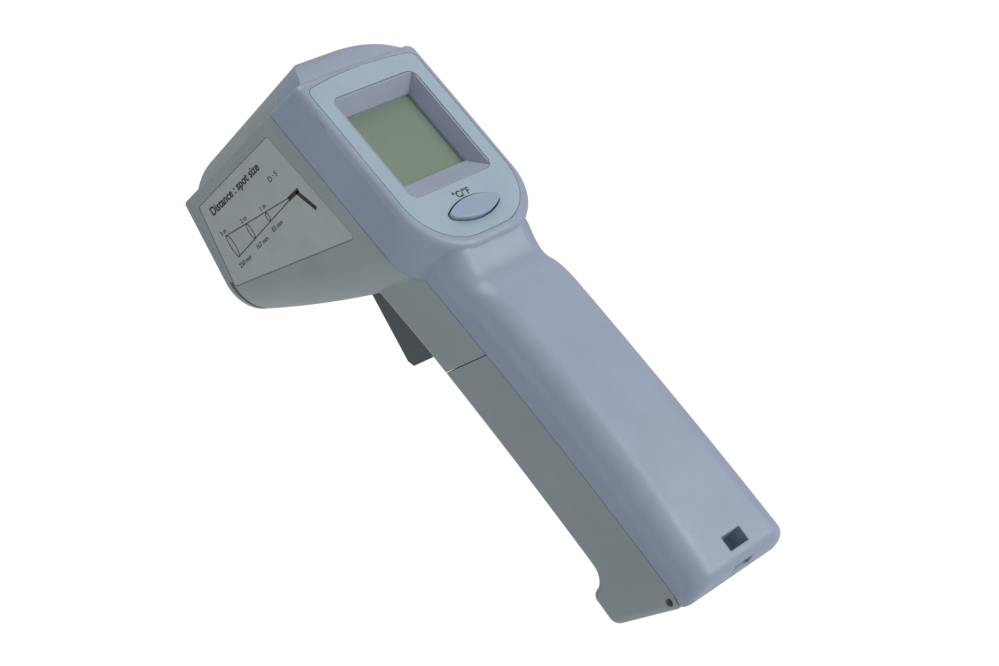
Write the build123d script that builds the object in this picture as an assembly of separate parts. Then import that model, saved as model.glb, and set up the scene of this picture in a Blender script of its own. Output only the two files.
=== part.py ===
from build123d import *
from math import cos, sin, radians, tan
import os

os.makedirs("parts", exist_ok=True)

# Pistol-grip infrared thermometer, millimetres.
# Two working frames are used. The grip frame has y square to the display and z up along
# the handle, with its origin at the middle of the display plate's top edge. The barrel
# frame is the grip frame turned back by the rake, so its y is the optical axis.

# ---- driving dimensions: overall form ----
rake = 17.0                 # angle between the handle and the square of the optical axis, deg
grip_y = 16.0               # middle of the hand's grip, measured in the grip frame
grip_z = -105.0
wall = 2.0                  # moulding wall
part_gap = 0.1              # visible joint between mouldings
seam_y = 12.5               # parting plane between rear cover and front housing
head_half = 21.75           # half width of the head at the parting plane
head_front = 59.2           # front face of the nose plate along the barrel
shoulder_z = 4.1            # top of the flat head side at the parting plane
shoulder_slope = 9.9        # rise of the shoulder towards the front, deg
belly_back_z = -53.5        # underside of the head at the parting plane
belly_mid = (46.5, -34.6)   # point on the bowed underside
belly_front_z = -20.2       # underside at the nose plate
groove = (56.1, 57.2)       # groove behind the nose plate's lower lip, along the barrel
groove_deep = 1.0
groove_top = -29.5
belly_round = 10.0          # rounding of the two long lower edges of the head
shoulder_round = 1.2
vault_side = 0.45           # set-in of the raised top from the head's side
vault_r = head_half - vault_side
vault_crest_z = 13.9        # crest of that top at the parting plane
vault_slope = 8.2           # rise of the crest towards the front, deg
vault_round = 3.0           # rounding of the vault's front end

# ---- driving dimensions: display pod ----
rim_side = 0.55             # set-in of the pod's rim from the head's side
rim_half = head_half - rim_side
rim_top = 2.5
hood_mid = (5.5, 9.5)       # point on the bowed hood behind the display
rim_bottom = -55.0
rim_round = 1.9
rim_corner = 2.6
rim_bottom_corner = 16.5
rim_width = 2.2             # rim showing beside the plate
plate_half = rim_half - rim_width
plate_top = 0.0
plate_crown = 1.2
plate_bottom = -52.2
plate_corner = 2.2
plate_bottom_corner = 14.5
plate_thick = 1.8

# ---- driving dimensions: battery, which the handle is built round ----
battery_size = (26.5, 17.5, 48.5)
battery_back_y = 8.2
battery_top_z = -84.0
battery_room = 0.6          # free space in front of the battery, for the pad
tray_side = 1.15            # tray's wall and its clearance on the battery
tray_clear = 0.1

# ---- driving dimensions: handle ----
handle_half = battery_size[0] / 2 + tray_side + tray_clear + wall
handle_flare = 2.9          # spread of each side at the lower end
handle_half_end = handle_half + handle_flare
handle_flare_z = -70.0      # the sides start to spread here
handle_end_z = -152.8       # lowest point, on the parting plane
under = handle_end_z - 7.2   # clear of everything, for cutting
plan_end_z = handle_end_z - 2.2
handle_front_y = battery_back_y + battery_size[1] + battery_room + wall
handle_front_end_y = handle_front_y + 1.2
handle_back_round = 7.2
handle_front_round = 2.0
back_high = (1.0, -74.0)    # palm swell on the back of the handle
back_low = (4.6, handle_end_z + 0.8)
back_mid = (1.7, (back_high[1] + back_low[1]) / 2 + 1.0)
neck_top = (0.9, -47.0)      # inside the pod's rim, from where the neck curves out
neck_edge = (1.0, -54.0)
neck_mid = (2.2, -57.0)
valley = (3.3, -60.5)       # hollow between the pod and the palm swell
toe_y = handle_front_end_y + 6.5
toe_top_z = handle_end_z + 18.2
base_slope = 21.0           # slope of the door's end face and of its top edge, deg
door_top_z = -76.3          # top edge of the battery door on the parting plane


# ---- driving dimensions: what shows on the back ----
opening_half = 14.8         # display opening in the plate
opening_top = -4.7
opening_bottom = -37.5
lcd_half = 12.2             # visible part of the display
lcd_top = -8.7
lcd_bottom = -31.6
lcd_depth = plate_thick + wall + part_gap
button_half = 8.8
button_point = 9.6          # half length the lens shape would have if its ends were not cut blunt
button_rise = 3.05          # half height of the lens-shaped button
button_z = -45.4
button_proud = (0.35, 1.5)  # above the plate at the button's upper and lower edge
button_travel = 0.5
button_gap = 0.35
strap_half = 3.6
strap_z = (handle_end_z + 4.0, handle_end_z + 7.9)
strap_slot_y = (6.4, 9.4)

# ---- driving dimensions: optics, in the barrel frame ----
optic_h = -20.0             # height of the measuring axis
port_r = 10.0               # bore in front of the lens
seat_r = 9.5                # seat of the lens and its ring
lens_b = 50.0
tube_wall = 2.0
nose_thick = wall
laser_h = -3.6
laser_r = 3.0
laser_port_r = 2.2
label_corners = ((17.7, -4.0), (5.9, -37.0), (56.0, -31.0), (54.2, -8.6))
label_sink = 0.35
label_thick = 0.25

# ---- driving dimensions: trigger, door and battery ----
trigger_half = 11.0
trigger_pivot = (25.5, -41.5)
trigger_pin_r = 1.2
trigger_clear = 0.35       # side gap of the trigger in its slot
plunger_arm = 7.0           # from the trigger's pivot down to its switch
door_gap = 0.2
door_pin = (15.2, handle_end_z + 3.6)
door_pin_r = 1.0
knuckle_r = 2.3
rib_pitch = 10.8
rib_count = 5
rib_first_z = -79.0
running = 0.05              # radial clearance of pins in their bores


def side_face(*points):
    return make_face(Plane.YZ * Polyline(*points, close=True))


def barrel(shape):
    """Turn a shape that was made in the barrel frame into the grip frame."""
    return Rot(X=rake) * shape


def barrel_slab(low, high):
    middle = (low + high) / 2
    return barrel(Pos(0, middle, -20) * Box(80, high - low, 120))


def tombstone(y, half, top, bottom, corner, bottom_corner, crown=0.0):
    """Outline with a large rounded lower end, square to the grip frame's y."""
    c = cos(radians(45))
    wire = Wire([
        Line((half, bottom + bottom_corner), (half, top - corner)),
        ThreePointArc((half, top - corner), (half - corner * (1 - c), top - corner * (1 - c)),
                      (half - corner, top)),
        ThreePointArc((half - corner, top), (0, top + crown + 0.001), (corner - half, top)),
        ThreePointArc((corner - half, top), (corner * (1 - c) - half, top - corner * (1 - c)),
                      (-half, top - corner)),
        Line((-half, top - corner), (-half, bottom + bottom_corner)),
        ThreePointArc((-half, bottom + bottom_corner),
                      (bottom_corner * (1 - c) - half, bottom + bottom_corner * (1 - c)),
                      (bottom_corner - half, bottom)),
        Line((bottom_corner - half, bottom), (half - bottom_corner, bottom)),
        ThreePointArc((half - bottom_corner, bottom),
                      (half - bottom_corner * (1 - c), bottom + bottom_corner * (1 - c)),
                      (half, bottom + bottom_corner)),
    ])
    return Plane.XZ.offset(-y) * make_face(wire)


# ---- outer form, built once for the outside and once for the inside of the wall ----
def shoulder_at(y):
    return shoulder_z + (y - seam_y) * tan(radians(shoulder_slope))


def front_point(z):
    """Grip-frame y of the nose plate's outer face at a height z."""
    return (head_front - z * sin(radians(rake))) / cos(radians(rake))


def head_block(inset):
    top_y = front_point(shoulder_at(55.0))
    low_y = front_point(belly_front_z)
    outline = [
        Line((seam_y, belly_back_z), (seam_y, shoulder_z)),
        Line((seam_y, shoulder_z), (top_y, shoulder_at(top_y))),
        Line((top_y, shoulder_at(top_y)), (low_y, belly_front_z)),
        ThreePointArc((low_y, belly_front_z), belly_mid, (seam_y, belly_back_z)),
    ]
    face = make_face(Plane.YZ * Wire(outline))
    if inset:
        face = offset(face, amount=-inset, kind=Kind.INTERSECTION)
        face = face + Plane.YZ * Pos(seam_y + inset / 2, (shoulder_z + belly_back_z) / 2) * Rectangle(
            3 * inset, shoulder_z - belly_back_z - 4 * inset)
    block = extrude(face, head_half - inset, both=True)
    long_edges = [e for e in block.edges() if abs(abs(e.center().X) - head_half + inset) < 0.01]
    lower = [e for e in long_edges if e.center().Z < -25 and e.center().Y > seam_y + 8]
    block = fillet(lower, belly_round - inset)
    if not inset:
        upper = [e for e in block.edges() if abs(abs(e.center().X) - head_half) < 0.01
                 and e.center().Z > shoulder_z + 1 and e.length > 20]
        block = fillet(upper, shoulder_round)
    return block


def vault(inset):
    radius = vault_r - inset
    rod = Pos(0, seam_y, vault_crest_z - vault_r) * Rot(X=vault_slope - 90) * Cylinder(radius, 140)
    slope = (vault_crest_z - rim_top) / (seam_y - 1.2)
    low = rim_top - inset * 1.4
    start = (1.2 + inset, low)
    end = (seam_y + inset, low + (seam_y - 1.2) * slope)
    middle = hood_mid if not inset else ((start[0] + end[0]) / 2 - 0.2, (start[1] + end[1]) / 2 + 0.2)
    keep = make_face(Plane.YZ * Wire([
        Line((1.2 + inset, -25), start),
        ThreePointArc(start, middle, end),
        Line(end, (60, 60)),
        Line((60, 60), (90, 60)),
        Line((90, 60), (90, -25)),
        Line((90, -25), (1.2 + inset, -25)),
    ]))
    return (rod & extrude(keep, 40, both=True)) & barrel_slab(-60, head_front - inset)


def pod(inset):
    start = plate_thick + wall if inset else 0
    rim = tombstone(start, rim_half - inset, rim_top - inset, rim_bottom + inset,
                    rim_corner - inset, rim_bottom_corner - inset)
    seam = tombstone(seam_y + (3 if inset else 0), head_half - inset, shoulder_z - inset,
                     belly_back_z - 0.6 + inset, max(1.3, 1.4 - inset), belly_round - inset)
    body = loft([rim, seam], ruled=True)
    if not inset:
        body = fillet(body.edges().group_by(Axis.Y)[0], rim_round)
    return body


def half_at(z):
    """Half width of the handle at a height."""
    if z > handle_flare_z:
        return handle_half
    share = (z - handle_flare_z) / (plan_end_z - handle_flare_z)
    return handle_half + (handle_half_end - handle_half) * share**2


def back_at(z):
    """Grip-frame y of the handle's back at a height."""
    if z > back_high[1]:
        return valley[0]
    share = (z - back_high[1]) / (back_low[1] - back_high[1])
    return back_high[0] + (back_low[0] - back_high[0]) * share**2


def front_at(z):
    """Grip-frame y of the handle's front above the toe."""
    share = (z + 62) / (toe_top_z + 62)
    return handle_front_y + (handle_front_end_y - handle_front_y) * share


def base_at(y):
    """Height of the handle's end face."""
    return handle_end_z + max(0, y - seam_y) * tan(radians(base_slope))


def handle():
    """Handle with its palm swell, flared end and toe."""
    toe_foot = (toe_y, base_at(toe_y))
    toe_head = (toe_y - 0.2, toe_top_z)
    waist = (handle_front_end_y, toe_top_z + 0.5)
    face = make_face(Wire([
        Line((7, -30), (7, neck_top[1] + 2)),
        Line((7, neck_top[1] + 2), neck_top),
        Spline(neck_top, neck_edge, neck_mid, valley, back_high, tangents=((0, -1), (0, -1))),
        ThreePointArc(back_high, back_mid, back_low),
        Line(back_low, (seam_y, handle_end_z)),
        Line((seam_y, handle_end_z), toe_foot),
        Line(toe_foot, toe_head),
        Line(toe_head, waist),
        Line(waist, (handle_front_y, -62)),
        Line((handle_front_y, -62), (handle_front_y + 0.8, -30)),
        Line((handle_front_y + 0.8, -30), (7, -30)),
    ]))
    for near, radius in ((toe_foot, 3.0), (toe_head, 2.2), (waist, 4.5)):
        corner = face.vertices().sort_by_distance(Vector(near[0], near[1], 0))[0]
        face = fillet(corner, radius)
    middle = (handle_half + (handle_half_end - handle_half) * 0.25, (handle_flare_z + plan_end_z) / 2)
    right = [
        Line((handle_half, -25), (handle_half, handle_flare_z)),
        ThreePointArc((handle_half, handle_flare_z), middle, (handle_half_end, plan_end_z)),
    ]
    left = [
        ThreePointArc((-handle_half_end, plan_end_z), (-middle[0], middle[1]), (-handle_half, handle_flare_z)),
        Line((-handle_half, handle_flare_z), (-handle_half, -25)),
    ]
    ends = [Line((handle_half_end, plan_end_z), (-handle_half_end, plan_end_z)),
            Line((-handle_half, -25), (handle_half, -25))]
    plan = make_face(Wire(right + [ends[0]] + left + [ends[1]]))
    body = extrude(Plane.YZ * face, 30, both=True) & extrude(Plane.XZ * plan, -60)
    sides = [e for e in body.edges() if abs(e.center().X) > handle_half - 1.5]
    back = [e for e in sides if e.center().Y < seam_y - 8 and e.length > 8
            and e.center().Z > handle_end_z + 12.8]
    body = fillet(back, handle_back_round)
    heel = [e for e in body.edges() if e.center().Z < handle_end_z + 4
            and e.center().Y < seam_y - 1.5 and e.length > 0.5]
    body = fillet(heel, 3.0)
    front = [e for e in body.edges() if abs(e.center().X) > handle_half - 1.5
             and e.center().Y > handle_front_y - 2 and e.center().Z > base_at(toe_y) - 1
             and e.length > 0.5]
    return fillet(front, handle_front_round)


def handle_hollow():
    """Inside of the handle's wall, with the toe's pocket."""
    sections = []
    for z in (-32, valley[1], back_high[1], (back_high[1] + back_low[1]) / 2, handle_end_z + wall):
        half = half_at(z) - wall
        low = back_at(z) + wall
        high = front_at(z) - wall
        section = Pos(0, (low + high) / 2) * Rectangle(2 * half, high - low)
        corners = section.vertices().group_by(Axis.Y)[0]
        section = fillet(corners, handle_back_round - wall)
        sections.append(Pos(0, 0, z) * section)
    hollow = loft(sections, ruled=True)
    floor = side_face((-5, handle_end_z + 1.1 * wall), (seam_y, handle_end_z + 1.1 * wall),
                      (45, base_at(45) + 1.1 * wall), (45, -20), (-5, -20))
    toe_deep = toe_y - wall - 25
    toe_low = base_at(toe_y - wall) + 1.1 * wall
    toe_high = toe_top_z - wall
    pocket = Pos(0, 25 + toe_deep / 2, (toe_low + toe_high) / 2) * Box(
        2 * (half_at(toe_low) - wall), toe_deep, toe_high - toe_low)
    return (hollow & extrude(floor, 40, both=True)) + pocket


def door_edge(y, shift=0.0):
    return door_top_z + (y - seam_y) * tan(radians(base_slope - 1.5)) + shift


def bar(y, z, radius, low, high):
    """Round bar across the body, from x = low to x = high."""
    return Pos((low + high) / 2, y, z) * Rot(Y=90) * Cylinder(radius, high - low)


def rod(x, z, radius, low, high):
    """Round bar along the grip frame's y."""
    return Pos(x, (low + high) / 2, z) * Rot(X=90) * Cylinder(radius, high - low)


def block(x, y, z):
    """Box from three (low, high) pairs."""
    return Pos(sum(x) / 2, sum(y) / 2, sum(z) / 2) * Box(x[1] - x[0], y[1] - y[0], z[1] - z[0])


def axial(h, radius, low, high):
    """Round bar along the optical axis, in the barrel frame."""
    return Pos(0, (low + high) / 2, h) * Rot(X=90) * Cylinder(radius, high - low)


def lens_shape(grow, low, high):
    """Blunt-ended oval prism along y, for the button and its slots."""
    radius = (button_point**2 + button_rise**2) / (2 * button_rise)
    up = rod(0, button_z + radius - button_rise, radius + grow, low, high)
    down = rod(0, button_z - radius + button_rise, radius + grow, low, high)
    ends = block((-button_half - grow, button_half + grow), (low, high), (button_z - 9, button_z + 9))
    prism = up & down & ends
    return fillet(prism.edges().filter_by(Axis.Y), 0.6 + grow)


# ---- the two housings, the nose plate and the door are cut from one body ----
outer = head_block(0) + vault(0) + pod(0) + handle()
hollow = head_block(wall) + vault(wall) + pod(wall)
for corner in ((15.8, 30), (-30, -15.8)):
    hollow -= block(corner, (9.5, 18.5), (-60, -45.2))
hollow += handle_hollow()
shell = outer - hollow
cover_side = block((-30, 30), (-20, seam_y - part_gap / 2), (under, 40))
front_side = block((-30, 30), (seam_y + part_gap / 2, 90), (under, 40))
above_door = extrude(side_face((5, door_edge(5, door_gap / 2)), (45, door_edge(45, door_gap / 2)),
                               (45, -56), (90, -56), (90, 40), (5, 40)), 40, both=True)
below_door = extrude(side_face((5, door_edge(5, -door_gap / 2)), (45, door_edge(45, -door_gap / 2)),
                               (45, under), (5, under)), 40, both=True)


def label_prism(side, low, high, trim):
    face = make_face(Polyline(*label_corners, close=True))
    face = fillet(face.vertices(), 1.0)
    if trim:
        face = offset(face, amount=-trim, kind=Kind.INTERSECTION)
    prism = extrude(Plane.YZ * face, high - low)
    prism = Pos(low, 0, 0) * prism
    return barrel(prism if side > 0 else mirror(prism, about=Plane.YZ))


def rear_cover():
    body = shell & cover_side
    body += (outer & block((-plate_half - 0.6, plate_half + 0.6), (0.0, plate_thick + wall), (-53, 0.6)))
    body -= tombstone_plate(0.12, -3, plate_thick + 0.1)
    body -= block((-opening_half - 0.2, opening_half + 0.2), (-3, plate_thick + wall + 1.2),
                  (opening_bottom - 0.2, opening_top + 0.2))
    body -= lens_shape(button_gap, -3, 6)
    for x in (-9, 9):
        body += rod(x, screw_z, 2.7, back_high[0] + 1.2, seam_y - part_gap / 2)
        body -= rod(x, screw_z, 1.12, 5.0, seam_y)
    for x in (-10.5, 10.5):
        foot = side_face((6, door_pin[1] - 2.0), (6, door_pin[1] + 3.2), (13, door_pin[1] + 2.7),
                         (door_pin[0], door_pin[1] + 2.2), door_pin, (12.4, door_pin[1] - 2.0))
        foot = extrude(foot, 1.5, both=True)
        body += Pos(x, 0, 0) * foot
    lip = block((-30, 30), (seam_y - 0.2, door_pin[0] - 1.65), (under, door_pin[1])) & outer
    body += lip - bar(door_pin[0], door_pin[1], knuckle_r + 0.3, -30, 30)
    for x in (-10.5, 10.5):
        body += bar(door_pin[0], door_pin[1], knuckle_r - 0.1, x - 1.5, x + 1.5)
    body -= bar(door_pin[0], door_pin[1], door_pin_r + 0.02, -12.3, 12.3)
    body += hollow & block((-strap_half - 1, strap_half + 1), (2, strap_slot_y[1] + 1),
                           (under, strap_z[1] + 1))
    body -= block((-strap_half, strap_half), (-3, strap_slot_y[1]), strap_z)
    body -= block((-strap_half, strap_half), strap_slot_y, (under, strap_z[1]))
    return body


def tombstone_plate(grow, low, high):
    face = tombstone(low, plate_half + grow, plate_top + grow, plate_bottom - grow,
                     plate_corner + grow, plate_bottom_corner + grow, plate_crown)
    return extrude(face, -(high - low))


screw_z = -72.0


def front_housing():
    body = (shell & front_side & above_door) & barrel_slab(-80, head_front - nose_thick)
    body -= barrel(block((-30, 30), groove, (-60, groove_top))) - head_block(groove_deep)
    for side in (-1, 1):
        low, high = sorted((side * (trigger_half + trigger_clear), side * 21))
        body += bar(trigger_pivot[0], trigger_pivot[1], 3.0, low, high) & outer
        body -= label_prism(side, head_half - label_sink, head_half + 2, 0)
    half = handle_half - wall + 0.3
    body += block((-half, half), (13.4, 15.4), (-52, -45))
    body += block((-half, half), (16.8, 18.6), (-60, -51.5))
    ledge = block((-half, half), (seam_y + 0.1, 14.6), (-76, -68.5)) & above_door
    body += ledge
    body += block((-4, 4), (24.9, 27.0), (-68.5, -65.2)) & outer
    for x in (-9, 9):
        body -= rod(x, screw_z, 1.2, 10, 16)
    body -= bar(trigger_pivot[0], trigger_pivot[1], trigger_pin_r + 0.02, -15.6, 15.6)
    slot_half = trigger_half + trigger_clear
    slot = extrude(side_face((20, -35.5), (31, -36.5), (36.55, -37), (36.55, -46), (44, -60),
                             (44, -65.2), (24.2, -65.2), (24.2, -45)), slot_half, both=True)
    return body - slot


def battery_door():
    body = (shell & front_side & below_door)
    body -= block((-30, 30), (0, door_pin[0] + 0.8), (under, door_pin[1]))
    for low, high in ((-22, -12.4), (-8.6, 8.6), (12.4, 22)):
        web = block((low, high), (door_pin[0], door_pin[0] + 3), (door_pin[1] - 2, door_pin[1] + 1.2))
        body += (bar(door_pin[0], door_pin[1], knuckle_r, low, high) + web) & outer
    for x in (-10.5, 10.5):
        body -= bar(door_pin[0], door_pin[1], knuckle_r + 0.3, x - 1.9, x + 1.9)
    body -= bar(door_pin[0], door_pin[1], door_pin_r + running, -30, 30)
    for index in range(rib_count):
        z = rib_first_z - index * rib_pitch
        y = front_at(z)
        body += block((-13.6, 13.6), (y - 0.8, y + 0.55), (z - 0.8, z + 0.8))
    hook = block((-4, 4), (23.6, 27.2), (-75.4, -74.4)) + block((-4, 4), (23.6, 24.5), (-75.0, -72.6))
    return body + hook


def nose_plate():
    plate = outer & barrel_slab(head_front - nose_thick, head_front - 0.1)
    rim = [e for e in plate.edges() if e.length > 3
           and (Rot(X=-rake) * e).center().Y > head_front - 0.3]
    plate = fillet(rim, 0.8)
    plate -= barrel(axial(optic_h, port_r, 50, 70))
    return plate - barrel(axial(laser_h, laser_port_r, 50, 70))


def lens_tube():
    tube = axial(optic_h, port_r + tube_wall, 38, head_front - nose_thick)
    tube -= axial(optic_h, port_r - 1, 30, lens_b)
    tube -= axial(optic_h, seat_r, lens_b, lens_b + 2.3)
    return barrel(tube - axial(optic_h, port_r, lens_b + 2.3, 70))


def fresnel_lens():
    return barrel(axial(optic_h, seat_r - 0.1, lens_b, lens_b + 1.0))


def lens_ring():
    ring = axial(optic_h, seat_r - 0.05, lens_b + 1.0, lens_b + 2.3)
    return barrel(ring - axial(optic_h, seat_r - 1.3, lens_b, lens_b + 4))


def sensor_holder():
    cap = axial(optic_h, port_r + tube_wall, 35.5, 38) - axial(optic_h, 4.25, 30, 40)
    return barrel(cap)


def thermopile_sensor():
    return barrel(axial(optic_h, 4.15, 33.0, 37.8) + axial(optic_h, 4.7, 32.4, 33.2))


def sensor_pcb():
    board = Pos(0, 0, 0) * block((-11, 11), (30.8, 32.4), (optic_h - 11, optic_h + 11))
    for x in (-8.5, 8.5):
        for h in (optic_h - 8.5, optic_h + 8.5):
            board += Pos(x, 0, 0) * axial(h, 1.2, 32.4, 35.5)
    return barrel(board)


def laser_module():
    body = axial(laser_h, laser_r, 38, 53.5) + axial(laser_h, 1.9, 53.5, 54.6)
    return barrel(body)


def laser_clip():
    low = optic_h + port_r + tube_wall - 0.6
    body = block((-4.6, 4.6), (41, 50), (low, laser_h + 0.6))
    body -= axial(laser_h, laser_r + 0.02, 30, 60)
    return barrel(body - axial(optic_h, port_r + tube_wall + 0.01, 30, 60))


def laser_window():
    return barrel(axial(laser_h, 3.2, head_front - nose_thick - 0.8, head_front - nose_thick))


def bezel_plate():
    plate = tombstone_plate(0, 0, plate_thick)
    hole = block((-opening_half, opening_half), (-1, 4), (opening_bottom, opening_top))
    hole = fillet(hole.edges().filter_by(Axis.Y), 2.6)
    slot = lens_shape(button_gap, -3, 6)
    return plate - hole - slot


def window_frame():
    trim = 0.1
    plug = block((trim - opening_half, opening_half - trim), (0.15, lcd_depth),
                 (opening_bottom + trim, opening_top - trim))
    plug = fillet(plug.edges().filter_by(Axis.Y), 2.5)
    flange = block((-16.4, 16.4), (lcd_depth, lcd_depth + 0.8), (opening_bottom - 1.6, opening_top + 1.6))
    mouth = Plane.XZ.offset(-0.1) * Pos(0, (opening_top + opening_bottom) / 2) * Rectangle(
        2 * opening_half - 1.2, opening_top - opening_bottom - 1.2)
    throat = Plane.XZ.offset(-lcd_depth) * Pos(0, (lcd_top + lcd_bottom) / 2) * Rectangle(
        2 * lcd_half, lcd_top - lcd_bottom)
    funnel = loft([mouth, throat], ruled=True)
    clear = block((-lcd_half, lcd_half), (lcd_depth - 0.1, 6), (lcd_bottom, lcd_top))
    return plug + flange - funnel - clear


def lcd_panel():
    return block((-13.4, 13.4), (lcd_depth + 0.8, 7.0), (-34.5, -6.5))


def lcd_frame():
    ring = block((-16.4, 16.4), (lcd_depth + 0.8, 8.0), (-38.4, -3.9))
    ring -= block((-13.5, 13.5), (4, 9), (-34.6, -6.4))
    for x, z in pcb_screw_spots:
        ring -= rod(x, z, 0.82, 5.4, 9)
    return ring


pcb_screw_spots = [(x, z) for x in (-14.95, 14.95) for z in (-36.6, -5.4)]


def zebra_strips():
    return [block((-11.5, 11.5), (7.0, 8.0), (z - 1, z + 1)) for z in (-32.5, -8.5)]


def main_pcb():
    board = extrude(tombstone(8.0, 17.2, -1.0, -50.6, 2, 12), -1.6)
    for x, z in pcb_screw_spots:
        board -= rod(x, z, 0.9, 7, 11)
    return board


def pcb_screws():
    return [rod(x, z, 0.8, 5.5, 9.6) + rod(x, z, 1.5, 9.6, 10.6) for x, z in pcb_screw_spots]


def pcb_chips():
    return [block((-7, 7), (9.6, 11.4), (-27, -13)), block((-12, -8), (9.6, 10.9), (-39, -33)),
            block((5, 10), (9.6, 11.8), (-42, -37))]


def buzzer():
    return rod(-8.0, -6.8, 4.4, 9.6, 14.0) - rod(-8.0, -6.8, 0.8, 12.5, 15)


def mode_button():
    top, low = button_proud
    edge = button_rise + 1
    cap = lens_shape(0, -4, plate_thick + wall + 0.1)
    cap &= extrude(side_face((-top, button_z + edge), (-low, button_z - edge), (9, button_z - edge),
                             (9, button_z + edge)), 20, both=True)
    cap = fillet(cap.edges().group_by(Axis.Y)[0] + cap.faces().sort_by(Axis.Y)[0].edges(), 0.45)
    cap += lens_shape(0.9, plate_thick + wall + 0.1, plate_thick + wall + 0.9)
    return cap + rod(0, button_z, 1.5, 4.6, 5.6)


def mode_switch():
    body = block((-3, 3), (6.3, 8.0), (button_z - 3, button_z + 3))
    return body - rod(0, button_z, 1.3, 6, 7.7)


def mode_switch_plunger():
    return rod(0, button_z, 1.2, 5.7, 6.9)


def trigger():
    y, z = trigger_pivot
    profile = make_face(Plane.YZ * Polyline(
        (36.0, -41.3), (41.2, -59.4), (40.6, -61.4), (33.6, -63.9), (27.2, -64.2), (24.9, -62.0),
        (23.0, z), (y - 0.5, z + 3.0), (33.0, -38.6), close=True))
    body = extrude(profile, trigger_half, both=True)
    pocket = extrude(side_face((18, -46.5), (30.0, -46.5), (32.2, -61.6), (18, -61.6)),
                     trigger_half - 2, both=True)
    body = body - pocket
    body += bar(y, z, 3.0, -trigger_half, trigger_half)
    nose = (y - 1.4, z - plunger_arm)
    body += block((2 - trigger_half, trigger_half - 2), (nose[0], nose[0] + 1.8),
                  (nose[1] - 0.6, nose[1] + 3.5))
    return body - bar(y, z, trigger_pin_r + running, -20, 20)


def trigger_pin():
    return bar(trigger_pivot[0], trigger_pivot[1], trigger_pin_r, -15.5, 15.5)


def trigger_spring():
    turns = 6
    low, high = 18.45, 31.15
    path = Helix((high - low - 1) / turns, high - low - 1, 2.6)
    wire = sweep(Plane(origin=path @ 0, z_dir=path % 0) * Circle(0.35), path=path)
    return Pos(0, low + 0.5, -56.5) * Rot(X=-90) * wire


def trigger_switch():
    z = trigger_pivot[1] - plunger_arm
    y = trigger_pivot[0]
    body = block((-5, 5), (15.4, y - 3.2), (z - 2.8, z + 3))
    return body - rod(0, z, 0.9, 18.4, 30)


def trigger_switch_plunger():
    z = trigger_pivot[1] - plunger_arm
    return rod(0, z, 0.8, 19.9, trigger_pivot[0] - 1.5)


def battery():
    width, depth, height = battery_size
    y = battery_back_y
    z = battery_top_z
    case = block((-width / 2, width / 2), (y, y + depth), (z - height, z))
    case = fillet(case.edges().filter_by(Axis.Z), 2.0)
    middle = y + depth / 2
    for x, radius in ((-6.35, 2.8), (6.35, 3.6)):
        case += Pos(x, middle, z + 1.2) * Cylinder(radius, 2.4)
    return case


def battery_tray():
    width, depth, height = battery_size
    y = battery_back_y
    z = battery_top_z
    half = width / 2 + tray_side
    floor = z - height - 0.2
    plate = block((2 - half, half - 2), (y - 1.3, y - 0.1), (floor - 1.2, z - 1))
    sides = block((-half, half), (y + 3.5, y + 12), (floor - 1.2, z - 4))
    sides -= block((0.95 - half, half - 0.95), (y - 2, y + 30), (floor - 3, z + 3))
    shelf = block((-half, half), (y + 3.5, y + 14), (floor - 1.2, floor))
    shelf += block((2 - half, half - 2), (y - 1.3, y + 4), (floor - 1.2, floor))
    links = []
    for side in (-1, 1):
        low, high = sorted((side * (half - 2.2), side * half))
        corner = block((low, high), (y - 1.3, y + 4), (floor - 1.2, floor + 1.5))
        links.append(corner & hollow)
    ribs = [block((x - 1, x + 1), (2, y - 1.2), (-126, -92)) & hollow for x in (-7, 7)]
    tray = plate + shelf + sides + ribs[0] + ribs[1]
    for corner in links:
        tray += corner
    case = block((-width / 2 - 0.1, width / 2 + 0.1), (y - 0.1, y + depth + 5), (floor, z + 5))
    return tray - case


def battery_snap():
    middle = battery_back_y + battery_size[1] / 2
    z = battery_top_z + 2.5
    body = block((-12.5, 12.5), (middle - 6.5, middle + 6.5), (z, z + 2.2))
    return fillet(body.edges().filter_by(Axis.Z), 3)


def battery_lead(x):
    path = FilletPolyline((x, 11.8, battery_top_z + 4.7), (x, 11.8, -45), (x, 9.6, -45), radius=1.4)
    return sweep(Plane(origin=path @ 0, z_dir=path % 0) * Circle(0.6), path=path)


def battery_pad():
    top, low = front_at(-95) - wall, front_at(-125) - wall
    return extrude(side_face((top - 0.9, -95), (top, -95), (low, -125), (low - 0.9, -125)), 9, both=True)


def door_hinge_pin():
    return bar(door_pin[0], door_pin[1], door_pin_r, -17.0, 17.0)


def door_catch():
    strip = block((-3.5, 3.5), (24.65, 24.9), (-74.0, -65.6))
    return strip + block((-3.5, 3.5), (24.65, 25.5), (-74.0, -73.6))


def housing_screws():
    return [rod(x, screw_z, 1.1, 5.4, 14.6) + rod(x, screw_z, 2.1, 14.6, 16.0) for x in (-9, 9)]


def label(side):
    return label_prism(side, head_half - label_sink, head_half - label_sink + label_thick, 0.15)


def to_row(shape):
    """Level the barrel and put the origin in the middle of the grip."""
    y = grip_y * cos(radians(rake)) + grip_z * sin(radians(rake))
    z = grip_z * cos(radians(rake)) - grip_y * sin(radians(rake))
    return Pos(0, -y, -z) * Rot(X=-rake) * shape


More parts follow.
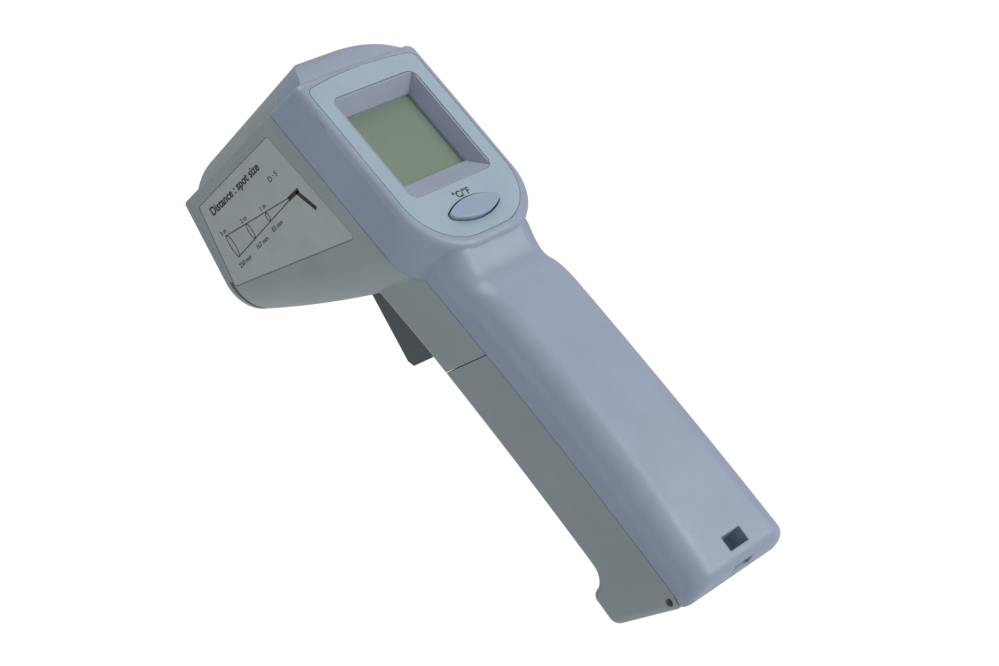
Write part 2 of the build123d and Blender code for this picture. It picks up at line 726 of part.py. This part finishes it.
nodes = {
    "front_housing": front_housing,
    "rear_cover": rear_cover,
    "battery_door": battery_door,
    "nose_plate": nose_plate,
    "bezel_plate": bezel_plate,
    "window_frame": window_frame,
    "lcd_panel": lcd_panel,
    "lcd_frame": lcd_frame,
    "zebra_strips": zebra_strips,
    "main_pcb": main_pcb,
    "pcb_screws": pcb_screws,
    "pcb_chips": pcb_chips,
    "buzzer": buzzer,
    "mode_button": mode_button,
    "mode_switch": mode_switch,
    "mode_switch_plunger": mode_switch_plunger,
    "trigger": trigger,
    "trigger_pin": trigger_pin,
    "trigger_spring": trigger_spring,
    "trigger_switch": trigger_switch,
    "trigger_switch_plunger": trigger_switch_plunger,
    "lens_tube": lens_tube,
    "fresnel_lens": fresnel_lens,
    "lens_ring": lens_ring,
    "sensor_holder": sensor_holder,
    "thermopile_sensor": thermopile_sensor,
    "sensor_pcb": sensor_pcb,
    "laser_module": laser_module,
    "laser_clip": laser_clip,
    "laser_window": laser_window,
    "battery": battery,
    "battery_tray": battery_tray,
    "battery_snap": battery_snap,
    "battery_lead_red": lambda: battery_lead(4.0),
    "battery_lead_black": lambda: battery_lead(-4.0),
    "battery_pad": battery_pad,
    "door_hinge_pin": door_hinge_pin,
    "door_catch": door_catch,
    "housing_screws": housing_screws,
    "label_left": lambda: label(-1),
    "label_right": lambda: label(1),
}

for name, make in nodes.items():
    made = make()
    solids = made if isinstance(made, list) else made.solids()
    placed = Compound(children=[to_row(solid) for solid in solids]) if len(solids) > 1 else to_row(solids[0])
    export_step(placed, f"parts/{name}.step")
    print(name, len(solids), round(sum(solid.volume for solid in solids)))
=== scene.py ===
import bpy
import bmesh
import math
from mathutils import Matrix, Vector


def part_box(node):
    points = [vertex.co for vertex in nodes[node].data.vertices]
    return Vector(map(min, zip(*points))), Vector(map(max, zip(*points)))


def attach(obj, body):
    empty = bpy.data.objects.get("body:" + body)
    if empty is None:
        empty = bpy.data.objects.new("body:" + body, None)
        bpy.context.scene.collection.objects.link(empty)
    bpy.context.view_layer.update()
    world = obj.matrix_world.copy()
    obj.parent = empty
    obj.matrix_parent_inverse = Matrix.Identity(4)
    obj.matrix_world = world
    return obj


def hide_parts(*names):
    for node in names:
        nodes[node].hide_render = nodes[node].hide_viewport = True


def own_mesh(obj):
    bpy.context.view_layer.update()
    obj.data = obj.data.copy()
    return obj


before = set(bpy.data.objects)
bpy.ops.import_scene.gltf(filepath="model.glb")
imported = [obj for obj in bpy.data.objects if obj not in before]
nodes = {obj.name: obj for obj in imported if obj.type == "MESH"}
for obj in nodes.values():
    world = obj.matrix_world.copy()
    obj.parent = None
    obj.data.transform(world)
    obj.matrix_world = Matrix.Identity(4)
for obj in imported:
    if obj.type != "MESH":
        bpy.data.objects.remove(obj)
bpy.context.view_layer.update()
scene = bpy.context.scene
print("frame loaded")


rakeAngle = math.radians(17)
gripPoint = (0.016, -0.105)  # the row frame's origin, in the handle's own frame


def fromHandle(x, y, z):  # handle frame, y square to the display and z up the handle, to row frame
    c, s = math.cos(rakeAngle), math.sin(rakeAngle)
    dy, dz = y - gripPoint[0], z - gripPoint[1]
    return Vector((x, dy * c + dz * s, dz * c - dy * s))


def fromBarrel(x, b, h):  # barrel frame, b along the level barrel, to row frame
    c, s = math.cos(rakeAngle), math.sin(rakeAngle)
    return Vector((x, b - (gripPoint[0] * c + gripPoint[1] * s), h - (gripPoint[1] * c - gripPoint[0] * s)))


def srgb(r, g, b):
    def one(v):
        v = v / 255
        return v / 12.92 if v <= 0.04045 else ((v + 0.055) / 1.055) ** 2.4
    return one(r), one(g), one(b)


def newMaterial(name):
    material = bpy.data.materials.new(name)
    material.use_nodes = True
    tree = material.node_tree
    return material, tree, tree.nodes["Principled BSDF"]


def addNode(tree, kind, **values):
    node = tree.nodes.new(kind)
    for key, value in values.items():
        setattr(node, key, value)
    return node


def cloudNoise(tree, scale, detail=3.0, roughness=0.5):
    place = addNode(tree, "ShaderNodeTexCoord")
    noise = addNode(tree, "ShaderNodeTexNoise")
    noise.inputs["Scale"].default_value = scale
    noise.inputs["Detail"].default_value = detail
    noise.inputs["Roughness"].default_value = roughness
    tree.links.new(place.outputs["Object"], noise.inputs["Vector"])
    return noise.outputs["Fac"]


def spread(tree, source, low, high, start=0.3, end=0.7):
    node = addNode(tree, "ShaderNodeMapRange")
    node.inputs["From Min"].default_value = start
    node.inputs["From Max"].default_value = end
    node.inputs["To Min"].default_value = low
    node.inputs["To Max"].default_value = high
    tree.links.new(source, node.inputs["Value"])
    return node.outputs["Result"]


def tint(tree, source, dark, light, start=0.35, end=0.65):
    node = addNode(tree, "ShaderNodeValToRGB")
    node.color_ramp.elements[0].position = start
    node.color_ramp.elements[0].color = (*dark, 1)
    node.color_ramp.elements[1].position = end
    node.color_ramp.elements[1].color = (*light, 1)
    tree.links.new(source, node.inputs["Fac"])
    return node.outputs["Color"]


def bumpFrom(tree, shader, height, strength, distance, edge=0.0):
    bump = addNode(tree, "ShaderNodeBump")
    bump.inputs["Strength"].default_value = strength
    bump.inputs["Distance"].default_value = distance
    tree.links.new(height, bump.inputs["Height"])
    if edge:  # softly broken moulding edges
        soft = addNode(tree, "ShaderNodeBevel", samples=6)
        soft.inputs["Radius"].default_value = edge
        tree.links.new(soft.outputs["Normal"], bump.inputs["Normal"])
    tree.links.new(bump.outputs["Normal"], shader.inputs["Normal"])


def mouldedPlastic(name, colour, gloss=0.45, grain=2400, depth=0.00003, vary=0.03, edge=0.0003):
    material, tree, shader = newMaterial(name)
    dark = tuple(c * (1 - vary) for c in colour)
    light = tuple(c * (1 + vary) for c in colour)
    tree.links.new(tint(tree, cloudNoise(tree, 70, 3), dark, light), shader.inputs["Base Color"])
    handled = cloudNoise(tree, 190, 4, 0.6)  # faint polish from handling
    tree.links.new(spread(tree, handled, gloss - 0.05, gloss + 0.07), shader.inputs["Roughness"])
    bumpFrom(tree, shader, cloudNoise(tree, grain, 2, 0.6), 0.45, depth, edge)
    shader.inputs["Specular IOR Level"].default_value = 0.42
    return material


def metal(name, colour, gloss=0.3, brushed=900):
    material, tree, shader = newMaterial(name)
    streak = cloudNoise(tree, brushed, 3, 0.7)
    dark = tuple(c * 0.85 for c in colour)
    tree.links.new(tint(tree, streak, dark, colour), shader.inputs["Base Color"])
    tree.links.new(spread(tree, streak, gloss, gloss + 0.15), shader.inputs["Roughness"])
    bumpFrom(tree, shader, streak, 0.3, 0.00001, 0.0001)
    shader.inputs["Metallic"].default_value = 1.0
    return material


def finishNode(node, material):
    thing = nodes[node]
    if not thing.data.materials:
        thing.data.materials.append(material)
    for slot in thing.material_slots:
        slot.material = material


greenGrey = mouldedPlastic("greenGreyHousing", srgb(150, 160, 162), gloss=0.38, edge=0.0005)
doorGrey = mouldedPlastic("greenGreyDoor", srgb(148, 157, 162), gloss=0.4, edge=0.0005)
lavender = mouldedPlastic("lavenderCover", srgb(150, 161, 180), gloss=0.34, depth=0.00002, edge=0.0005)
paleBlue = mouldedPlastic("paleBluePlate", srgb(160, 176, 190), gloss=0.36, grain=1800, depth=0.000015)
violet = mouldedPlastic("violetFrame", srgb(150, 156, 176), gloss=0.38, edge=0.0002)
buttonBlue = mouldedPlastic("blueGreyButton", srgb(150, 164, 186), gloss=0.34, depth=0.00001)
darkGrey = mouldedPlastic("darkTrigger", srgb(84, 90, 93), gloss=0.42)
black = mouldedPlastic("blackMoulding", srgb(30, 30, 32), gloss=0.4)
milky = mouldedPlastic("milkyLens", srgb(205, 206, 200), gloss=0.16, depth=0.000005, edge=0.0)
sleeveGrey = mouldedPlastic("batterySleeve", srgb(66, 70, 80), gloss=0.28)
foam = mouldedPlastic("blackFoam", srgb(34, 34, 36), gloss=0.8, grain=1500, depth=0.0002)
redWire = mouldedPlastic("redWire", srgb(176, 34, 30), gloss=0.35)
blackWire = mouldedPlastic("blackWire", srgb(26, 26, 28), gloss=0.35)
whiteNylon = mouldedPlastic("whiteNylon", srgb(205, 203, 195), gloss=0.4)
steel = metal("groundSteel", (0.55, 0.55, 0.56))
brass = metal("turnedBrass", (0.62, 0.46, 0.2), gloss=0.25)


def printedFilm():
    material, tree, shader = newMaterial("labelFilm")
    tree.links.new(tint(tree, cloudNoise(tree, 120, 2), srgb(168, 177, 177), srgb(173, 182, 182)),
                   shader.inputs["Base Color"])
    tree.links.new(spread(tree, cloudNoise(tree, 260, 3), 0.3, 0.42), shader.inputs["Roughness"])
    bumpFrom(tree, shader, cloudNoise(tree, 700, 2), 0.15, 0.00003, 0.0001)
    return material


def displayGlass():
    material, tree, shader = newMaterial("displayGlass")
    place = addNode(tree, "ShaderNodeTexCoord")
    grid = addNode(tree, "ShaderNodeTexVoronoi")  # very fine speckle of the rear diffuser
    grid.inputs["Scale"].default_value = 2600
    tree.links.new(place.outputs["Object"], grid.inputs["Vector"])
    tree.links.new(tint(tree, grid.outputs["Distance"], srgb(122, 137, 120), srgb(128, 143, 126), 0.0, 1.0),
                   shader.inputs["Base Color"])
    tree.links.new(spread(tree, cloudNoise(tree, 90, 2), 0.1, 0.2), shader.inputs["Roughness"])
    shader.inputs["Coat Weight"].default_value = 0.3
    shader.inputs["Coat Roughness"].default_value = 0.06
    return material


def circuitBoard():
    material, tree, shader = newMaterial("solderResist")
    place = addNode(tree, "ShaderNodeTexCoord")
    tracks = addNode(tree, "ShaderNodeTexBrick", offset=0.5)
    tracks.inputs["Scale"].default_value = 160
    tracks.inputs["Mortar Size"].default_value = 0.06
    tracks.inputs["Color1"].default_value = (*srgb(22, 84, 44), 1)
    tracks.inputs["Color2"].default_value = (*srgb(28, 96, 52), 1)
    tracks.inputs["Mortar"].default_value = (*srgb(44, 128, 72), 1)
    tree.links.new(place.outputs["Object"], tracks.inputs["Vector"])
    tree.links.new(tracks.outputs["Color"], shader.inputs["Base Color"])
    bumpFrom(tree, shader, tracks.outputs["Fac"], 0.3, 0.00004, 0.0001)
    shader.inputs["Roughness"].default_value = 0.3
    return material


film = printedFilm()
glass = displayGlass()
board = circuitBoard()
ink = mouldedPlastic("darkInk", srgb(42, 46, 48), gloss=0.5, edge=0.0)

finishes = {
    "front_housing": greenGrey, "battery_door": doorGrey, "nose_plate": greenGrey,
    "rear_cover": lavender, "bezel_plate": paleBlue, "window_frame": violet,
    "mode_button": buttonBlue, "lcd_panel": glass, "label_left": film, "label_right": film,
    "main_pcb": board, "sensor_pcb": board, "battery": sleeveGrey, "battery_pad": foam,
    "battery_lead_red": redWire, "battery_lead_black": blackWire, "laser_module": brass,
    "mode_switch_plunger": whiteNylon, "trigger_switch_plunger": redWire,
    "thermopile_sensor": steel, "laser_window": milky, "zebra_strips": foam,
    "door_hinge_pin": steel, "trigger_pin": steel, "housing_screws": steel,
    "trigger_spring": steel, "door_catch": steel, "pcb_screws": steel,
    "trigger": darkGrey, "fresnel_lens": milky,
}
for node in nodes:
    finishNode(node, finishes.get(node, black))
print("materials assigned")


def addPiece(name, bm, material, body, smooth=False):
    mesh = bpy.data.meshes.new(name)
    bm.to_mesh(mesh)
    bm.free()
    mesh.materials.append(material)
    for face in mesh.polygons:
        face.use_smooth = smooth
    piece = bpy.data.objects.new(name, mesh)
    scene.collection.objects.link(piece)
    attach(piece, body)
    return piece


lensShape = {
    "middle": (50.0, -20.0), "radius": 9.4, "thick": 1.0, "rings": 13, "step": 0.16,
    "grooved": 0.92, "draft": 0.02, "facets": 72,
}


def makeFresnelLens(size):
    bm = bmesh.new()
    back, front = size["middle"][0] / 1000, (size["middle"][0] + size["thick"]) / 1000
    radius = size["radius"] / 1000
    step = size["step"] / 1000
    points = [(0, back), (radius, back), (radius, front)]
    pitch = radius * size["grooved"] / size["rings"]
    edge = radius * size["grooved"]
    for ring in range(size["rings"]):  # saw-tooth grooves from the rim to the middle
        points.append((edge, front))
        points.append((edge - size["draft"] * pitch, front - step))
        edge -= pitch
    points.append((0, front))
    verts = [bm.verts.new(fromBarrel(r, b, size["middle"][1] / 1000)) for r, b in points]
    edges = [bm.edges.new(pair) for pair in zip(verts, verts[1:])]
    bmesh.ops.spin(bm, geom=verts + edges, cent=fromBarrel(0, 0, size["middle"][1] / 1000),
                   axis=(0, 1, 0), angle=math.tau, steps=size["facets"], use_merge=True)
    bmesh.ops.remove_doubles(bm, verts=bm.verts, dist=1e-7)
    bmesh.ops.recalc_face_normals(bm, faces=bm.faces)
    lens = addPiece("fresnelLens", bm, milky, "housing")
    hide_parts("fresnel_lens")


makeFresnelLens(lensShape)

triggerShape = {"edge": 0.0016, "steps": 5, "sharp": 0.35, "shortest": 0.002, "front": 0.004}


def makeTrigger(size):  # the CAD trigger with softened edges
    bm = bmesh.new()
    bm.from_mesh(nodes["trigger"].data)
    bmesh.ops.remove_doubles(bm, verts=bm.verts, dist=1e-6)
    bmesh.ops.dissolve_limit(bm, angle_limit=math.radians(1), verts=bm.verts, edges=bm.edges)
    low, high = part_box("trigger")
    outer = [e for e in bm.edges if e.is_manifold and e.calc_face_angle(0) > size["sharp"]
             and e.calc_length() > size["shortest"]
             and (e.verts[0].co.y + e.verts[1].co.y) / 2 > low.y + size["front"]]
    bmesh.ops.bevel(bm, geom=outer, offset=size["edge"], segments=size["steps"], profile=0.5,
                    affect="EDGES", material=-1, clamp_overlap=True)
    piece = addPiece("triggerLever", bm, darkGrey, "trigger", smooth=False)
    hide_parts("trigger")


makeTrigger(triggerShape)


def makeTriggerSpring():  # the CAD spring, copied as a piece of the housing
    bm = bmesh.new()
    bm.from_mesh(nodes["trigger_spring"].data)
    piece = addPiece("triggerSpring", bm, steel, "housing", smooth=True)
    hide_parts("trigger_spring")
    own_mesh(piece)


makeTriggerSpring()
print("lens, trigger and spring made")

labelPrint = {
    "slope": math.atan2(4.6, 36.5), "height": 0.00003, "line": 0.00022,
    "face": 0.0217, "corner": (17.7, -4.0), "width": 0.0368,
    "title": ("Distance : spot size", 0.0030, -0.0046, 0.0032, 0.00006),
    "ratio": ("D : S", 0.0285, -0.0090, 0.0021),
    "gun": (0.0346, -0.0154), "gunBar": 0.0011, "muzzle": 0.0035,
    "beamEnd": 0.0028, "beamEdges": (-0.0106, -0.0170), "beamMiddle": -0.0138,
    "spots": (0.0034, 0.0124, 0.0210), "captionSize": 0.0018,
    "captions": (("3 m", 0.0016, -0.0100), ("2 m", 0.0110, -0.0114), ("1 m", 0.0198, -0.0127),
                 ("250 mm", 0.0014, -0.0196), ("167 mm", 0.0108, -0.0192), ("83 mm", 0.0196, -0.0188)),
}


def printFrame(side, size):  # where the artwork's x and y axes point on one side's label
    c, s = math.cos(size["slope"]), math.sin(size["slope"])
    across = Vector((0, side * c, -side * s)) if side > 0 else Vector((0, -c, s))
    rise = Vector((0, s, c))
    out = Vector((side, 0, 0))
    b, h = size["corner"]
    start = fromBarrel(side * size["face"], b / 1000, h / 1000)
    if side < 0:
        start = start - across * size["width"]
    return Matrix((across, rise, out)).transposed().to_4x4(), start


def addBar(bm, x0, y0, x1, y1, width, height):
    made = bmesh.ops.create_cube(bm, size=1)["verts"]
    length = math.hypot(x1 - x0, y1 - y0)
    bmesh.ops.scale(bm, verts=made, vec=(length, width, height))
    bmesh.ops.rotate(bm, verts=made, cent=(0, 0, 0),
                     matrix=Matrix.Rotation(math.atan2(y1 - y0, x1 - x0), 3, "Z"))
    bmesh.ops.translate(bm, verts=made, vec=((x0 + x1) / 2, (y0 + y1) / 2, 0))


def addSpot(bm, x, y, rx, ry, width, height):
    rings = []
    for grow in (-width / 2, width / 2):
        made = bmesh.ops.create_circle(bm, segments=28, radius=1)["verts"]
        bmesh.ops.scale(bm, verts=made, vec=(rx + grow, ry + grow, 1))
        rings.append(made)
    edges = list({e for ring in rings for v in ring for e in v.link_edges})
    band = bmesh.ops.bridge_loops(bm, edges=edges)["faces"]
    bmesh.ops.recalc_face_normals(bm, faces=band)
    raised = bmesh.ops.extrude_face_region(bm, geom=band)["geom"]
    top = [v for v in raised if isinstance(v, bmesh.types.BMVert)]
    bmesh.ops.translate(bm, verts=top, vec=(0, 0, height))
    whole = list({v for v in top} | {v for ring in rings for v in ring})
    bmesh.ops.translate(bm, verts=whole, vec=(x, y, -height / 2))


def addText(bm, words, x, y, size, height, bold=0.0, slant=0.0):
    curve = bpy.data.curves.new("words", "FONT")
    curve.body = words
    curve.size = size
    curve.extrude = height / 2
    curve.offset = bold
    curve.resolution_u = 4
    holder = bpy.data.objects.new("words", curve)
    scene.collection.objects.link(holder)
    bpy.context.view_layer.update()
    mesh = bpy.data.meshes.new_from_object(holder.evaluated_get(bpy.context.evaluated_depsgraph_get()))
    before = len(bm.verts)
    bm.from_mesh(mesh)
    bm.verts.ensure_lookup_table()
    made = bm.verts[before:]
    bmesh.ops.rotate(bm, verts=made, cent=(0, 0, 0), matrix=Matrix.Rotation(slant, 3, "Z"))
    bmesh.ops.translate(bm, verts=made, vec=(x, y, 0))
    bpy.data.objects.remove(holder)
    bpy.data.curves.remove(curve)
    bpy.data.meshes.remove(mesh)


def makeLabelPrint(side, size):  # a plain field-of-view diagram, origin at the label's top left corner
    bm = bmesh.new()
    line, height = size["line"], size["height"]
    words, x, y, letters, bold = size["title"]
    addText(bm, words, x, y, letters, height, bold)
    words, x, y, letters = size["ratio"]
    addText(bm, words, x, y, letters, height)
    gun, bar = size["gun"], size["gunBar"]
    muzzle = gun[0] - size["muzzle"]
    addBar(bm, muzzle, gun[1], gun[0] + 0.0015, gun[1], bar, height)
    addBar(bm, gun[0] + 0.0004, gun[1], gun[0] + 0.0034, gun[1] - 0.0066, bar, height)
    for shift, edge in zip((0.0003, -0.0003), size["beamEdges"]):
        addBar(bm, muzzle, gun[1] + shift, size["beamEnd"], edge, line, height)
    for x in size["spots"]:
        share = (muzzle - x) / (muzzle - size["beamEnd"])
        middle = gun[1] + (size["beamMiddle"] - gun[1]) * share
        addSpot(bm, x, middle, 0.00035 + 0.0006 * share, 0.0032 * share, line, height)
    for words, x, y in size["captions"]:
        addText(bm, words, x, y, size["captionSize"], height)
    turn, start = printFrame(side, size)
    bmesh.ops.transform(bm, verts=bm.verts, matrix=Matrix.Translation(start) @ turn)
    name = "labelPrintRight" if side > 0 else "labelPrintLeft"
    addPiece(name, bm, ink, "housing")


makeLabelPrint(-1, labelPrint)
makeLabelPrint(1, labelPrint)

unitMark = {
    "words": "°C/°F", "size": 0.0026, "place": (-0.0034, -0.04165), "height": 0.00004,
    "bold": 0.00005, "proud": 0.00002,
}


def makeUnitMark(size):
    bm = bmesh.new()
    addText(bm, size["words"], size["place"][0], 0, size["size"], size["height"], size["bold"])
    bmesh.ops.rotate(bm, verts=bm.verts, cent=(0, 0, 0),
                     matrix=Matrix.Rotation(math.radians(90) - rakeAngle, 3, "X"))
    bmesh.ops.translate(bm, verts=bm.verts, vec=fromHandle(0, -size["proud"], size["place"][1]))
    addPiece("unitMark", bm, ink, "housing")


makeUnitMark(unitMark)
print("printing made")


cameraView = {
    "place": (-0.406008, -0.412876, 0.025183),
    "right": (0.646355, -0.606282, -0.463300),
    "up": (0.329181, -0.326211, 0.886130),
    "lens": 86.486, "sensor": 36, "clip": (0.01, 60),
}
cameraData = bpy.data.cameras.new("camera")
cameraData.lens = cameraView["lens"]
cameraData.sensor_width = cameraView["sensor"]
camera = bpy.data.objects.new("camera", cameraData)
scene.collection.objects.link(camera)
right = Vector(cameraView["right"]).normalized()
up = Vector(cameraView["up"])
up = (up - right * up.dot(right)).normalized()
turn = Matrix((right, up, right.cross(up))).transposed().to_4x4()
camera.matrix_world = Matrix.Translation(cameraView["place"]) @ turn
cameraData.clip_start, cameraData.clip_end = cameraView["clip"]
scene.camera = camera

studio = {
    "seen": 1.02, "world": 0.24, "floorGlow": 0.64, "floorZ": -0.32, "floorSize": 6.0,
    "aim": (0, 0, 0.03),
    "boxes": (("topBox", (0.15, -0.25, 1.1), 0.9, 6.6), ("backBox", (0.45, -0.85, 0.0), 0.7, 5.0),
              ("sideBox", (-0.9, 0.2, 0.3), 0.7, 1.4)),
}


def twoFold(tree, shaderKind, seenStrength, litStrength):  # one brightness for the view, one for the light
    path = addNode(tree, "ShaderNodeLightPath")
    seen = addNode(tree, shaderKind)
    seen.inputs["Color"].default_value = (1, 1, 1, 1)
    seen.inputs["Strength"].default_value = seenStrength
    lit = addNode(tree, shaderKind)
    lit.inputs["Color"].default_value = (0.95, 0.98, 1, 1)
    lit.inputs["Strength"].default_value = litStrength
    mix = addNode(tree, "ShaderNodeMixShader")
    tree.links.new(path.outputs["Is Camera Ray"], mix.inputs["Fac"])
    tree.links.new(lit.outputs[0], mix.inputs[1])
    tree.links.new(seen.outputs[0], mix.inputs[2])
    return mix.outputs[0]


world = bpy.data.worlds.new("studio")
world.use_nodes = True
scene.world = world
tree = world.node_tree
tree.nodes.clear()
out = addNode(tree, "ShaderNodeOutputWorld")
tree.links.new(twoFold(tree, "ShaderNodeBackground", studio["seen"], studio["world"]), out.inputs["Surface"])


def softbox(name, place, size, power):
    light = bpy.data.lights.new(name, "AREA")
    light.shape = "DISK"
    light.size = size
    light.energy = power
    lamp = bpy.data.objects.new(name, light)
    scene.collection.objects.link(lamp)
    lamp.location = place
    lamp.rotation_euler = (Vector(studio["aim"]) - Vector(place)).to_track_quat("-Z", "Y").to_euler()


for box in studio["boxes"]:
    softbox(*box)

bm = bmesh.new()
bmesh.ops.create_grid(bm, x_segments=1, y_segments=1, size=studio["floorSize"])
bmesh.ops.translate(bm, verts=bm.verts, vec=(0, 0, studio["floorZ"]))
floorMesh = bpy.data.meshes.new("floor")
bm.to_mesh(floorMesh)
bm.free()
floor = bpy.data.objects.new("floor", floorMesh)
scene.collection.objects.link(floor)
floorMaterial, tree, shader = newMaterial("paleFloor")
glow = twoFold(tree, "ShaderNodeEmission", studio["seen"], studio["floorGlow"])
tree.links.new(glow, tree.nodes["Material Output"].inputs["Surface"])
floorMesh.materials.append(floorMaterial)
scene.view_settings.view_transform = "Standard"
print("stage ready")
